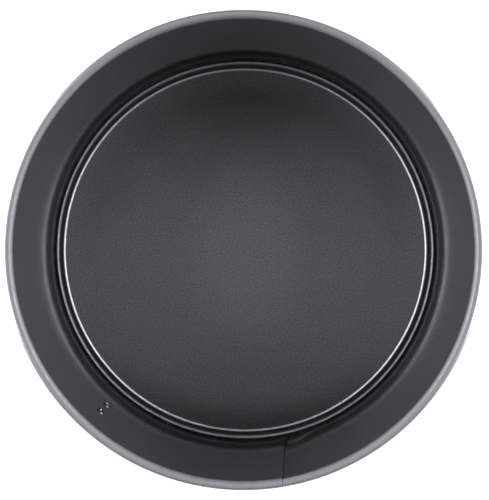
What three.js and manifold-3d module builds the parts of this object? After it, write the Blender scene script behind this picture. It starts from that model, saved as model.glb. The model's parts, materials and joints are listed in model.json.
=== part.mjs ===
// Round springform cake tin: split side band, loose stepped base and an over-centre wire clasp.
// Millimetres, +Z up. The origin is the centre of the baking floor's top face.
// Azimuths are in degrees, counter-clockwise from +X as seen from above.
import * as THREE from "three";
import { mergeVertices } from "three/addons/utils/BufferGeometryUtils.js";
import Module from "manifold-3d";

const wasm = await Module();
wasm.setup();

// Side band
const TIN_RADIUS = 120;
const BAND_SHEET = 0.6;
const WALL_TOP = 65.5;
const CURL_RADIUS = 1.9;
const CURL_END = -105;
const BEAD_RADIUS = 2.3;
const BEAD_SET_OUT = 0.3;
const BEAD_BLEND = 0.5;
const LEDGE_WIDTH = 3.4;
const RING_STEP = 5;
const FULL_TURN = 360;

// Overlap of the two band ends
const SEAM_BOTTOM = 282.1;
const SEAM_TOP = 279.6;
const OUTER_END = 246;
const LAYER_GAP = 0.8;
const EASE_START = 284;
const EASE_END = 291;
const SEAM_GAP = 0.25;
const BEAD_END_GAP = 0.2;
const BEAD_RUN_OUT = 6;
const OUTER_TOP_DROP = 2.6;
const TONGUE_LIFT = 0.6;
const LAYER_SHIFT = BAND_SHEET + LAYER_GAP;
const OUTER_FACE = TIN_RADIUS + LAYER_SHIFT + BAND_SHEET;

// Base plate
const BASE_SHEET = 0.6;
const BASE_CLEARANCE = 0.8;
const FLANGE_WIDTH = 4.5;
const RIDGE_WIDTH = 1.4;
const RIDGE_HEIGHT = 0.5;
const FLOOR_STEP = 2.5;
const LIP_ROLL = 0.3;
const LIP_RISE = 0.55;
const LIP_SLOPE = 36;
const SEAT_GAP = 0.3;
const BASE_RADIUS = TIN_RADIUS - BASE_CLEARANCE;

// Clasp, laid out round the lever's pivot
const CLASP_HEIGHT = 36;
const CLASP_SHEET = 1;
const PIVOT_AZIMUTH = 256.5;
const PIVOT_STANDOFF = 4.5;
const PIN_RADIUS = 1.5;
const BAIL_REACH = 7;
const BAIL_LIFT = 0.3;
const CATCH_AZIMUTH = 234.5;
const CATCH_STANDOFF = 6.9;
const WIRE_RADIUS = 1.25;
const LEG_HEIGHT = 10.2;
const KEEPER_AZIMUTH = 228.4;
const KEEPER_RIVET_SPREAD = 6.8;
const BRACKET_RIVET_SPREAD = 5;
const BRACKET_RIVET_OFFSET = -7;
const RIVET_RADIUS = 1.4;
const RIVET_HEAD = 2.5;
const RIVET_DIMPLE = 1.2;
const HEAD_THICKNESS = 0.35;
const DOME_THICKNESS = 1;
const HEAD_GAP = 0.15;
const HOLE_PLAY = 0.2;
const PIVOT_RADIUS = OUTER_FACE + PIVOT_STANDOFF;
const CATCH_RADIUS = TIN_RADIUS + BAND_SHEET + CATCH_STANDOFF;

// Keeper and bracket
const KEEPER_MARGIN = 9;
const KEEPER_HALF_HEIGHT = 11;
const PLATE_ROUND = 3;
const TAB_SHEET = 1.5;
const TAB_HALF_HEIGHT = 7.5;
const TAB_OVERREACH = 2.5;
const TAB_LEAN = 8;
const BRACKET_TAIL = 12;
const BRACKET_NOSE = 4;
const EAR_RADIUS = 2.7;
const EAR_SHEET = 1.2;
const SIDE_PLAY = 0.2;

// Lever
const FLANGE_INNER = 7;
const FLANGE_OUTER = FLANGE_INNER + CLASP_SHEET;
const EAR_OUTER = FLANGE_INNER - SIDE_PLAY;
const EAR_INNER = EAR_OUTER - EAR_SHEET;
const HEEL_RADIUS = 2.8;
const BOSS_RADIUS = 2.7;
const WEB_STANDOFF = 2.5;
const WEB_START = 2.4;
const FLANGE_LENGTH = 21;
const LEVER_LENGTH = 57;
const FLARE_LENGTH = 13;
const FLARE_LIFT = 1.8;
const NECK_LENGTH = 19;
const PAD_HALF_HEIGHT = 11;
const PAD_ROUND = 8;
const RIB_RADIUS = 0.7;
const RIB_LENGTH = 12;
const RIB_PITCH = 4.2;
const RIB_COUNT = 4;
const RIB_FROM_TIP = 10;
const PIN_HEAD = 2.1;
const PIN_HEAD_THICKNESS = 0.5;
const BAIL_BEND = 2.6;
const WEB_RADIUS = PIVOT_RADIUS + WEB_STANDOFF;

const radians = THREE.MathUtils.degToRad;
const point = (x, y) => new THREE.Vector2(x, y);

// A plan point on a circle round the tin's axis.
function polar(radius, azimuth) {
  return point(radius * Math.cos(radians(azimuth)), radius * Math.sin(radians(azimuth)));
}

// The azimuth that lies an arc length along the tin's circumference from the lever's pivot.
function alongFromPivot(length, radius) {
  return PIVOT_AZIMUTH + THREE.MathUtils.radToDeg(length / radius);
}

// A plan point given from the lever's pivot: outward, and sideways along the tangent.
function fromPivot(outward, sideways) {
  const angle = radians(PIVOT_AZIMUTH);
  const centre = polar(PIVOT_RADIUS, PIVOT_AZIMUTH);
  return point(
    centre.x + outward * Math.cos(angle) - sideways * Math.sin(angle),
    centre.y + outward * Math.sin(angle) + sideways * Math.cos(angle),
  );
}

// Points of an arc from one angle to another.
function arc(centre, radius, from, to, steps) {
  const points = [];
  for (let i = 0; i <= steps; i += 1) {
    const angle = radians(from + (to - from) * (i / steps));
    points.push(point(centre.x + radius * Math.cos(angle), centre.y + radius * Math.sin(angle)));
  }
  return points;
}

// Points of a line bent round the tin's axis, its radius given by a function of the azimuth.
function bentLine(radiusAt, from, to, steps) {
  const points = [];
  for (let i = 0; i <= steps; i += 1) {
    const azimuth = from + (to - from) * (i / steps);
    points.push(polar(radiusAt(azimuth), azimuth));
  }
  return points;
}

// The closed outline of a folded sheet, from the line along its middle.
function sheetOutline(middle, sheet) {
  const left = [];
  const right = [];
  middle.forEach((here, i) => {
    const before = middle[Math.max(i - 1, 0)];
    const after = middle[Math.min(i + 1, middle.length - 1)];
    const intoHere = here.clone().sub(before).normalize();
    const fromHere = after.clone().sub(here).normalize();
    const along = intoHere.clone().add(fromHere).normalize();
    const ends = i === 0 || i === middle.length - 1;
    const stretch = ends ? 1 : Math.max(along.dot(fromHere), 0.5);
    const side = point(-along.y, along.x).multiplyScalar(sheet / 2 / stretch);
    left.push(here.clone().add(side));
    right.unshift(here.clone().sub(side));
  });
  const outline = left.concat(right);
  return THREE.ShapeUtils.isClockWise(outline) ? outline.reverse() : outline;
}

// A closed solid from a geometry, ready to be joined or cut.
function solid(geometry) {
  const plain = geometry.clone();
  plain.deleteAttribute("normal");
  plain.deleteAttribute("uv");
  const merged = mergeVertices(plain, 1e-4);
  const triangles = [];
  for (let i = 0; i < merged.index.count; i += 3) {
    const corners = [0, 1, 2].map((k) => merged.index.getX(i + k));
    if (new Set(corners).size === 3) {
      triangles.push(...corners);
    }
  }
  return new wasm.Manifold(new wasm.Mesh({
    numProp: 3,
    vertProperties: new Float32Array(merged.attributes.position.array),
    triVerts: new Uint32Array(triangles),
  }));
}

function geometryOf(body) {
  const mesh = body.getMesh();
  const geometry = new THREE.BufferGeometry();
  geometry.setAttribute("position", new THREE.BufferAttribute(new Float32Array(mesh.vertProperties), 3));
  geometry.setIndex(new THREE.BufferAttribute(new Uint32Array(mesh.triVerts), 1));
  geometry.computeVertexNormals();
  return geometry;
}

// A plan outline raised between two heights.
function raised(outline, bottom, top, holes = []) {
  const shape = new THREE.Shape(outline);
  shape.holes = holes.map((hole) => new THREE.Path(hole));
  const geometry = new THREE.ExtrudeGeometry(shape, { depth: top - bottom, bevelEnabled: false });
  geometry.translate(0, 0, bottom);
  return solid(geometry);
}

// The same plan outline at equal heights above and below the clasp's middle.
function raisedPair(outline, inner, outer, holes = []) {
  const upper = raised(outline, CLASP_HEIGHT + inner, CLASP_HEIGHT + outer, holes);
  return upper.add(raised(outline, CLASP_HEIGHT - outer, CLASP_HEIGHT - inner, holes));
}

// A prism that cuts a front view: its outline is in X and Z and it runs along Y.
function frontPrism(outline, nearY, farY) {
  const geometry = new THREE.ExtrudeGeometry(new THREE.Shape(outline), {
    depth: farY - nearY,
    bevelEnabled: false,
  });
  geometry.rotateX(Math.PI / 2);
  geometry.translate(0, farY, 0);
  return solid(geometry);
}

// A turned profile set along the radius that leaves the tin at an azimuth.
function turnedOutward(profile, azimuth, height) {
  const geometry = new THREE.LatheGeometry(profile, 14);
  geometry.rotateZ(-Math.PI / 2);
  geometry.rotateZ(radians(azimuth));
  geometry.translate(0, 0, height);
  return solid(geometry);
}

function hole(azimuth, height, radius) {
  const from = TIN_RADIUS - 3 * LEDGE_WIDTH;
  const to = PIVOT_RADIUS;
  const profile = [point(0, from), point(radius, from), point(radius, to), point(0, to)];
  return turnedOutward(profile, azimuth, height);
}

// A profile carried round the tin. Each section may be moved by a function of azimuth, radius and height.
function carriedRound(outline, azimuths, place) {
  const positions = [];
  const index = [];
  const count = outline.length;
  azimuths.forEach((azimuth, step) => {
    outline.forEach((corner) => {
      const moved = place(azimuth, corner, step);
      const flat = polar(moved.radius, moved.azimuth);
      positions.push(flat.x, flat.y, corner.y);
    });
  });
  for (let step = 0; step + 1 < azimuths.length; step += 1) {
    for (let i = 0; i < count; i += 1) {
      const a = step * count + i;
      const b = step * count + ((i + 1) % count);
      index.push(a, a + count, b, b, a + count, b + count);
    }
  }
  const last = (azimuths.length - 1) * count;
  THREE.ShapeUtils.triangulateShape(outline, []).forEach(([a, b, c]) => {
    index.push(a, b, c);
    index.push(last + a, last + c, last + b);
  });
  const geometry = new THREE.BufferGeometry();
  geometry.setAttribute("position", new THREE.Float32BufferAttribute(positions, 3));
  geometry.setIndex(index);
  return solid(geometry);
}

function azimuthSteps(from, to) {
  const count = Math.ceil((to - from) / RING_STEP);
  return Array.from({ length: count + 1 }, (_, i) => from + ((to - from) * i) / count);
}

// Middle lines of the band's sheet, from foot to rim, as radius and height.
const WALL_RADIUS = TIN_RADIUS + BAND_SHEET / 2;
const LEDGE_HEIGHT = -FLOOR_STEP - BASE_SHEET - SEAT_GAP - BAND_SHEET / 2;

function footLine() {
  const beadCentre = point(WALL_RADIUS + BEAD_SET_OUT, LEDGE_HEIGHT + BEAD_RADIUS);
  return [point(TIN_RADIUS - LEDGE_WIDTH, LEDGE_HEIGHT), ...arc(beadCentre, BEAD_RADIUS, -90, 75, 6)];
}

function rimLine() {
  const curlCentre = point(WALL_RADIUS + CURL_RADIUS, WALL_TOP);
  return arc(curlCentre, CURL_RADIUS, 180, CURL_END, 9);
}

function wallFoot() {
  return point(WALL_RADIUS, LEDGE_HEIGHT + 2 * BEAD_RADIUS + BEAD_BLEND);
}

function tongueFoot() {
  const foot = wallFoot();
  foot.y += TONGUE_LIFT;
  return foot;
}

// How far the outer layer stands off: full along the overlap, easing away past the seam, none at the rim.
function layerShift(azimuth, height) {
  const along = 1 - THREE.MathUtils.smoothstep(azimuth, EASE_START, EASE_END);
  const up = 1 - THREE.MathUtils.smoothstep(height, WALL_TOP - OUTER_TOP_DROP, WALL_TOP + CURL_RADIUS / 2);
  return LAYER_SHIFT * along * up;
}

// Near its end the main turn's bead runs out to line up with the outer layer's bead.
function beadRunOut(azimuth, height) {
  const end = mainTurnEnd();
  const along = THREE.MathUtils.smoothstep(azimuth, end - BEAD_RUN_OUT, end);
  const down = 1 - THREE.MathUtils.smoothstep(height, LEDGE_HEIGHT + 2 * BEAD_RADIUS, tongueFoot().y);
  return LAYER_SHIFT * along * down;
}

// The tongue's end is cut on a rake: longer at the foot than at the rim.
function seamAt(height) {
  const share = THREE.MathUtils.clamp(height / WALL_TOP, 0, 1);
  return THREE.MathUtils.lerp(SEAM_BOTTOM, SEAM_TOP, share);
}

function outerLayer() {
  const top = point(WALL_RADIUS, WALL_TOP - OUTER_TOP_DROP);
  const outline = sheetOutline([...footLine(), wallFoot(), top], BAND_SHEET);
  const place = (azimuth, corner) => ({ azimuth, radius: corner.x + LAYER_SHIFT });
  return carriedRound(outline, azimuthSteps(OUTER_END, EASE_START), place);
}

function mainTurnEnd() {
  return OUTER_END + FULL_TURN - BEAD_END_GAP;
}

function mainTurn() {
  const outline = sheetOutline([...footLine(), wallFoot(), tongueFoot(), ...rimLine()], BAND_SHEET);
  const start = SEAM_BOTTOM + SEAM_GAP;
  const steps = [start, EASE_START, ...azimuthSteps(EASE_START + 2, EASE_END)];
  steps.push(...azimuthSteps(EASE_END, mainTurnEnd() - BEAD_RUN_OUT).slice(1));
  for (const share of [1 / 3, 2 / 3, 1]) {
    steps.push(mainTurnEnd() - BEAD_RUN_OUT * (1 - share));
  }
  const place = (azimuth, corner, step) => ({
    azimuth: step === 0 ? seamAt(corner.y) + SEAM_GAP : azimuth,
    radius: corner.x + layerShift(azimuth, corner.y) + beadRunOut(azimuth, corner.y),
  });
  return carriedRound(outline, steps, place);
}

function tongue() {
  const outline = sheetOutline([tongueFoot(), ...rimLine()], BAND_SHEET);
  const steps = azimuthSteps(mainTurnEnd(), SEAM_TOP + FULL_TURN - RING_STEP / 2);
  steps.push(SEAM_TOP + FULL_TURN);
  const place = (azimuth, corner, step) => ({
    azimuth: step === steps.length - 1 ? seamAt(corner.y) + FULL_TURN : azimuth,
    radius: corner.x,
  });
  return carriedRound(outline, steps, place);
}

function bracketRivetAzimuth() {
  return alongFromPivot(BRACKET_RIVET_OFFSET, OUTER_FACE + CLASP_SHEET);
}

function makeBand() {
  let body = mainTurn().add(drillOuterLayer(outerLayer())).add(tongue());
  for (const side of [-1, 1]) {
    const keeperHeight = CLASP_HEIGHT + side * KEEPER_RIVET_SPREAD;
    body = body.subtract(hole(KEEPER_AZIMUTH, keeperHeight, RIVET_RADIUS + HOLE_PLAY));
  }
  return body;
}

// Only the outer layer is drilled here: the tongue slides behind these rivets.
function drillOuterLayer(layer) {
  let body = layer;
  for (const side of [-1, 1]) {
    const height = CLASP_HEIGHT + side * BRACKET_RIVET_SPREAD;
    body = body.subtract(hole(bracketRivetAzimuth(), height, RIVET_RADIUS + HOLE_PLAY));
  }
  return body;
}

// The base: flat floor, a low ridge round it, a step down to a flange and an edge turned up and rolled over.
function makeBase() {
  const half = BASE_SHEET / 2;
  const flangeHeight = -FLOOR_STEP - half;
  const stepRadius = BASE_RADIUS - FLANGE_WIDTH;
  const crest = point(stepRadius - RIDGE_WIDTH / 2, RIDGE_HEIGHT - half);
  const rollCentre = point(BASE_RADIUS - half - LIP_ROLL, flangeHeight + LIP_RISE);
  const roll = arc(rollCentre, LIP_ROLL, 90 + LIP_SLOPE, -75, 4);
  const lipRun = (roll[0].y - flangeHeight) / Math.tan(radians(LIP_SLOPE));
  const middle = [
    point(0, -half),
    point(crest.x - RIDGE_WIDTH, -half),
    point(crest.x - RIDGE_WIDTH / 2, RIDGE_HEIGHT / 2 - half),
    crest,
    point(stepRadius, RIDGE_HEIGHT / 4 - half),
    point(stepRadius + BASE_SHEET, flangeHeight + BASE_SHEET),
    point(stepRadius + 2 * BASE_SHEET, flangeHeight),
    point(roll[0].x - lipRun, flangeHeight),
    ...roll,
  ];
  const outline = closed(sheetOutline(middle, BASE_SHEET));
  const geometry = new THREE.LatheGeometry(outline, FULL_TURN / RING_STEP);
  geometry.rotateX(Math.PI / 2);
  return solid(geometry);
}

function closed(outline) {
  return [...outline, outline[0].clone()];
}

// Rivet: a dimpled inner head, a shank and a domed outer head, as radius against distance from the axis.
function makeRivet(azimuth, height, inner, outer, headRadius, dimple) {
  const profile = [
    point(0, inner.face + dimple),
    point(RIVET_RADIUS * 0.6, inner.face + dimple),
    point(RIVET_RADIUS * 0.85, inner.face),
    point(headRadius - HEAD_THICKNESS, inner.face),
    point(headRadius, inner.seat - HEAD_THICKNESS / 3),
    point(headRadius, inner.seat),
    point(RIVET_RADIUS, inner.seat),
    point(RIVET_RADIUS, outer.seat),
    point(headRadius, outer.seat),
    point(headRadius, outer.seat + DOME_THICKNESS * 0.3),
    point(headRadius * 0.7, outer.face - DOME_THICKNESS * 0.15),
    point(0, outer.face),
  ];
  return turnedOutward(profile, azimuth, height);
}

// A rivet through one layer of the band and a clasp plate that lies on it.
function claspRivet(azimuth, height, layerFace, headRadius, dimple) {
  const seat = layerFace - HEAD_GAP;
  const plateFace = layerFace + BAND_SHEET + SEAT_GAP + CLASP_SHEET;
  const inner = { face: seat - HEAD_THICKNESS, seat };
  const outer = { seat: plateFace + HEAD_GAP, face: plateFace + HEAD_GAP + DOME_THICKNESS };
  return makeRivet(azimuth, height, inner, outer, headRadius, dimple);
}

function makeKeeperRivet(side) {
  const height = CLASP_HEIGHT + side * KEEPER_RIVET_SPREAD;
  return claspRivet(KEEPER_AZIMUTH, height, TIN_RADIUS, RIVET_HEAD, RIVET_DIMPLE);
}

// These heads lie flat in the gap between the two layers, so they have no dimple.
function makeBracketRivet(side) {
  const height = CLASP_HEIGHT + side * BRACKET_RIVET_SPREAD;
  return claspRivet(bracketRivetAzimuth(), height, TIN_RADIUS + LAYER_SHIFT, RIVET_HEAD * 0.9, 0);
}

// Keeper: a plate bent round the tin with a catch tab standing out at one end.
function makeKeeper() {
  const plateRadius = TIN_RADIUS + BAND_SHEET + SEAT_GAP + CLASP_SHEET / 2;
  const tabFoot = catchPoint(plateRadius - CATCH_RADIUS);
  const plateEnd = THREE.MathUtils.radToDeg(Math.atan2(tabFoot.y, tabFoot.x)) + FULL_TURN;
  const margin = THREE.MathUtils.radToDeg(KEEPER_MARGIN / plateRadius);
  const overhang = THREE.MathUtils.radToDeg(TAB_SHEET / 2 / plateRadius);
  const plateLine = bentLine(() => plateRadius, KEEPER_AZIMUTH - margin, plateEnd + overhang, 5);
  const plate = raised(
    sheetOutline(plateLine, CLASP_SHEET),
    CLASP_HEIGHT - KEEPER_HALF_HEIGHT,
    CLASP_HEIGHT + KEEPER_HALF_HEIGHT,
  );
  const tabLine = [tabFoot, catchPoint(0), catchPoint(TAB_OVERREACH)];
  const tabOutline = sheetOutline(tabLine, TAB_SHEET);
  let body = plate.add(raised(tabOutline, CLASP_HEIGHT - TAB_HALF_HEIGHT, CLASP_HEIGHT + TAB_HALF_HEIGHT));
  body = body.intersect(roundedEnd(KEEPER_AZIMUTH - margin, KEEPER_HALF_HEIGHT));
  for (const side of [-1, 1]) {
    const height = CLASP_HEIGHT + side * KEEPER_RIVET_SPREAD;
    body = body.subtract(hole(KEEPER_AZIMUTH, height, RIVET_RADIUS + HOLE_PLAY));
  }
  return body;
}

// A block that a plate is trimmed to: it rounds the two corners of the end that faces an azimuth.
function roundedEnd(azimuth, halfHeight) {
  const upper = arc(point(PLATE_ROUND, halfHeight - PLATE_ROUND), PLATE_ROUND, 180, 90, 4);
  upper.push(point(TIN_RADIUS / 2, halfHeight));
  const lower = upper.map((p) => point(p.x, -p.y)).reverse();
  const outline = [...upper, ...lower].map((p) => point(p.x, p.y + CLASP_HEIGHT));
  const block = frontPrism(outline, -1.3 * TIN_RADIUS, -0.7 * TIN_RADIUS);
  return block.rotate([0, 0, azimuth - 270]);
}

// A point on the middle of the catch tab, which leans towards the lever, at a height above the bail's bar.
function catchPoint(above) {
  const lean = radians(TAB_LEAN);
  const sideways = WIRE_RADIUS + SEAT_GAP + TAB_SHEET / 2 + above * Math.tan(lean);
  const along = radians(CATCH_AZIMUTH);
  const base = polar(CATCH_RADIUS + above, CATCH_AZIMUTH);
  return point(base.x - sideways * Math.sin(along), base.y + sideways * Math.cos(along));
}

// Bracket: a plate bent round the outer layer with two ears for the lever's pin.
function makeBracket() {
  const plateRadius = OUTER_FACE + SEAT_GAP + CLASP_SHEET / 2;
  const from = alongFromPivot(-BRACKET_TAIL, plateRadius);
  const to = alongFromPivot(BRACKET_NOSE, plateRadius);
  let body = raised(
    sheetOutline(bentLine(() => plateRadius, from, to, 4), CLASP_SHEET),
    CLASP_HEIGHT - FLANGE_OUTER,
    CLASP_HEIGHT + FLANGE_OUTER,
  );
  const tip = arc(point(0, 0), EAR_RADIUS, -90, 90, 12).map((p) => fromPivot(p.x, p.y));
  const rootDepth = plateRadius - PIVOT_RADIUS;
  const ear = [fromPivot(rootDepth, -EAR_RADIUS), ...tip, fromPivot(rootDepth, EAR_RADIUS)];
  const pinHole = arc(point(0, 0), PIN_RADIUS + HOLE_PLAY, 0, 345, 23).map((p) => fromPivot(p.x, p.y));
  body = body.add(raisedPair(ear, EAR_INNER, EAR_OUTER, [pinHole]));
  return drillOuterLayer(body.intersect(roundedEnd(from, FLANGE_OUTER)));
}

// Lever: a web that follows the tin, two flanges that carry the pivots, and a ribbed finger pad.
function makeLever() {
  const webEnd = alongFromPivot(LEVER_LENGTH, WEB_RADIUS);
  const flareStart = alongFromPivot(LEVER_LENGTH - FLARE_LENGTH, WEB_RADIUS);
  const flare = (azimuth) => THREE.MathUtils.smoothstep(azimuth, flareStart, webEnd);
  const radiusAt = (azimuth) => WEB_RADIUS + FLARE_LIFT * flare(azimuth);
  const webOutline = sheetOutline(bentLine(radiusAt, webHeel(), webEnd, 18), CLASP_SHEET);
  const bottom = CLASP_HEIGHT - PAD_HALF_HEIGHT - CLASP_SHEET;
  const top = CLASP_HEIGHT + PAD_HALF_HEIGHT + CLASP_SHEET;
  const front = frontPrism(leverFront(), -WEB_RADIUS - LEVER_LENGTH / 2, -WEB_RADIUS + LEVER_LENGTH / 2);
  let body = raised(webOutline, bottom, top).intersect(front);
  body = body.add(raisedPair(flangeOutline(), FLANGE_INNER, FLANGE_OUTER, pivotHoles()));
  for (let i = 0; i < RIB_COUNT; i += 1) {
    body = body.add(gripRib(LEVER_LENGTH - RIB_FROM_TIP - i * RIB_PITCH, radiusAt));
  }
  return body;
}

// Front view of the lever: a neck as high as its flanges, widening into a pad with a round end.
function leverFront() {
  const left = polar(WEB_RADIUS, alongFromPivot(0, WEB_RADIUS)).x;
  const right = polar(WEB_RADIUS, alongFromPivot(LEVER_LENGTH, WEB_RADIUS)).x - SIDE_PLAY;
  const neckEnd = left + NECK_LENGTH;
  const rise = PAD_HALF_HEIGHT - FLANGE_OUTER;
  const upper = [
    point(left, FLANGE_OUTER),
    point(neckEnd, FLANGE_OUTER),
    point(neckEnd + rise, FLANGE_OUTER + rise / 2),
    point(neckEnd + 2.5 * rise, PAD_HALF_HEIGHT),
    ...arc(point(right - PAD_ROUND, PAD_HALF_HEIGHT - PAD_ROUND), PAD_ROUND, 90, 0, 6),
  ];
  const lower = upper.map((p) => point(p.x, -p.y)).reverse();
  return [...upper, ...lower].map((p) => point(p.x, p.y + CLASP_HEIGHT));
}

// Plan of a flange: a round heel at the pivot, a boss at the bail and a long taper into the web.
function flangeOutline() {
  const heel = arc(point(0, 0), HEEL_RADIUS, 45, -175, 12).map((p) => fromPivot(p.x, p.y));
  const boss = arc(point(BAIL_LIFT, BAIL_REACH), BOSS_RADIUS, 185, 120, 4).map((p) => fromPivot(p.x, p.y));
  const innerEdge = [
    polar(WEB_RADIUS - WEB_STANDOFF, alongFromPivot(FLANGE_LENGTH * 0.65, WEB_RADIUS)),
    polar(WEB_RADIUS - CLASP_SHEET * 0.4, flangeEnd()),
  ];
  const outerEdge = bentLine(() => WEB_RADIUS + CLASP_SHEET * 0.4, flangeEnd(), webHeel(), 5);
  return [...heel, ...boss, ...innerEdge, ...outerEdge];
}

function webHeel() {
  return alongFromPivot(WEB_START, WEB_RADIUS);
}

function flangeEnd() {
  return alongFromPivot(FLANGE_LENGTH, WEB_RADIUS);
}

function pivotHoles() {
  const pin = arc(point(0, 0), PIN_RADIUS + HOLE_PLAY, 0, 345, 23);
  const bail = arc(point(BAIL_LIFT, BAIL_REACH), WIRE_RADIUS + HOLE_PLAY, 0, 345, 23);
  return [pin, bail].map((ring) => ring.map((p) => fromPivot(p.x, p.y)));
}

function gripRib(along, radiusAt) {
  const azimuth = alongFromPivot(along, WEB_RADIUS);
  const centre = polar(radiusAt(azimuth) + CLASP_SHEET / 2, azimuth);
  const geometry = new THREE.CapsuleGeometry(RIB_RADIUS, RIB_LENGTH, 2, 8);
  geometry.rotateX(Math.PI / 2);
  geometry.translate(centre.x, centre.y, CLASP_HEIGHT);
  return solid(geometry);
}

function makeLeverPin() {
  const seat = FLANGE_OUTER + SIDE_PLAY;
  const side = seat + PIN_HEAD_THICKNESS / 2;
  const reach = seat + PIN_HEAD_THICKNESS;
  const upper = [
    point(PIN_RADIUS, seat),
    point(PIN_HEAD, seat),
    point(PIN_HEAD, side),
    point(PIN_HEAD * 0.8, reach),
    point(0, reach),
  ];
  const profile = [...upper.map((p) => point(p.x, -p.y)).reverse(), ...upper];
  const geometry = new THREE.LatheGeometry(profile, 24);
  const centre = fromPivot(0, 0);
  geometry.rotateX(Math.PI / 2);
  geometry.translate(centre.x, centre.y, CLASP_HEIGHT);
  return solid(geometry);
}

// Bail: wire from one flange hole, along the tin, round the catch and back to the other hole.
function makeBail() {
  const seat = fromPivot(BAIL_LIFT, BAIL_REACH);
  const seatRadius = seat.length();
  const seatAzimuth = THREE.MathUtils.radToDeg(Math.atan2(seat.y, seat.x)) + FULL_TURN;
  const bend = BAIL_BEND;
  const upper = [];
  const at = (azimuth, height) => {
    const share = (azimuth - CATCH_AZIMUTH) / (seatAzimuth - CATCH_AZIMUTH);
    const flat = polar(THREE.MathUtils.lerp(CATCH_RADIUS, seatRadius, share), azimuth);
    upper.push(new THREE.Vector3(flat.x, flat.y, height));
  };
  const bendAzimuth = THREE.MathUtils.radToDeg(bend / CATCH_RADIUS);
  at(seatAzimuth, FLANGE_INNER - SIDE_PLAY);
  for (const turn of [0, 22.5, 45, 67.5, 90]) {
    const back = bendAzimuth * (1 - Math.cos(radians(turn)));
    at(seatAzimuth - back, LEG_HEIGHT - bend + bend * Math.sin(radians(turn)));
  }
  for (let i = 1; i < 8; i += 1) {
    const share = i / 8;
    const from = seatAzimuth - bendAzimuth;
    const to = CATCH_AZIMUTH + bendAzimuth;
    at(THREE.MathUtils.lerp(from, to, share), LEG_HEIGHT);
  }
  for (const turn of [90, 67.5, 45, 22.5, 0]) {
    const back = bendAzimuth * (1 - Math.cos(radians(turn)));
    at(CATCH_AZIMUTH + back, LEG_HEIGHT - bend + bend * Math.sin(radians(turn)));
  }
  at(CATCH_AZIMUTH, LEG_HEIGHT / 4);
  const lower = upper.map((p) => new THREE.Vector3(p.x, p.y, -p.z)).reverse();
  const path = new THREE.CatmullRomCurve3([...upper, ...lower], false, "centripetal");
  const section = new THREE.Shape(arc(point(0, 0), WIRE_RADIUS, 0, 315, 7));
  const geometry = new THREE.ExtrudeGeometry(section, { steps: 72, extrudePath: path });
  geometry.translate(0, 0, CLASP_HEIGHT);
  return solid(geometry);
}

// Finishes: a dark non-stick coating on the sheet work and bright plated steel on the clasp.
function coating() {
  return new THREE.MeshStandardMaterial({ color: 0x37373a, roughness: 0.35, metalness: 0.5 });
}

function plating() {
  return new THREE.MeshStandardMaterial({ color: 0xb9bbbe, roughness: 0.3, metalness: 1 });
}

const root = new THREE.Group();
root.name = "springform_tin";

function place(name, body, material) {
  const mesh = new THREE.Mesh(geometryOf(body), material);
  mesh.name = name;
  root.add(mesh);
}

place("band", makeBand(), coating());
place("base_plate", makeBase(), coating());
place("keeper", makeKeeper(), plating());
place("keeper_rivet_upper", makeKeeperRivet(1), plating());
place("keeper_rivet_lower", makeKeeperRivet(-1), plating());
place("lever_bracket", makeBracket(), plating());
place("bracket_rivet_upper", makeBracketRivet(1), plating());
place("bracket_rivet_lower", makeBracketRivet(-1), plating());
place("lever", makeLever(), plating());
place("lever_pin", makeLeverPin(), plating());
place("bail", makeBail(), plating());

export default root;
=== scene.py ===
"""Looks of a round springform cake tin: coated sheet work, a plated wire clasp and a plain studio."""
import json
import math

import bmesh
import bpy
from mathutils import Matrix, Vector

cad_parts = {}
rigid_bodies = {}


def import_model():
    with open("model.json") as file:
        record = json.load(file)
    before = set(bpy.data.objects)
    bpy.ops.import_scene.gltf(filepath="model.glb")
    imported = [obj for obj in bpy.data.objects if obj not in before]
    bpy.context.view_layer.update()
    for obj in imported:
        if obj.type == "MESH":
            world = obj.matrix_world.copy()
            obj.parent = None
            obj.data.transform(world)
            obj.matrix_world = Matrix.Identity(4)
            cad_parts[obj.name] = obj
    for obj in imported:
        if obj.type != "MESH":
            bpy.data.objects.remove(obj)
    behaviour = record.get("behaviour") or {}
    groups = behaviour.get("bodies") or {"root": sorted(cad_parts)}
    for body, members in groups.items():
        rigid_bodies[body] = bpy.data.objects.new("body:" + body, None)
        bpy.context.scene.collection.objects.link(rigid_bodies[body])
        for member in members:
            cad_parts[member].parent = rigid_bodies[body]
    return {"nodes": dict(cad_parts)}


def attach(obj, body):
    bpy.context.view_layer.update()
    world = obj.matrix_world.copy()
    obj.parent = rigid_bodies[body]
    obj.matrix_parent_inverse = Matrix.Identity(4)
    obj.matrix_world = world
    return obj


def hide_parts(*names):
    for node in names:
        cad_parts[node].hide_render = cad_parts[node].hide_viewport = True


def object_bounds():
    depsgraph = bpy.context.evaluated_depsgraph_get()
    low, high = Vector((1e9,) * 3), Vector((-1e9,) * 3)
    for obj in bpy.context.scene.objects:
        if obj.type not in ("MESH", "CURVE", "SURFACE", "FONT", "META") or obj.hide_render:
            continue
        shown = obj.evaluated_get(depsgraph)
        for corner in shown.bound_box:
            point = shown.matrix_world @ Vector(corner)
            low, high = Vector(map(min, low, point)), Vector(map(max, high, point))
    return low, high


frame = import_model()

CAD_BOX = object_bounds()
MM = 0.001

# Side band, in millimetres and degrees, as in the part's source
TIN_RADIUS = 120.0
BAND_SHEET = 0.6
WALL_TOP = 65.5
CURL_RADIUS = 1.9
CURL_END = -105.0
CURL_LEAD = 1.3
BEAD_RADIUS = 2.3
BEAD_SET_OUT = 0.3
BEAD_BLEND = 0.5
BEAD_END = 75.0
LEDGE_WIDTH = 3.4
WALL_RADIUS = TIN_RADIUS + BAND_SHEET / 2

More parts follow.
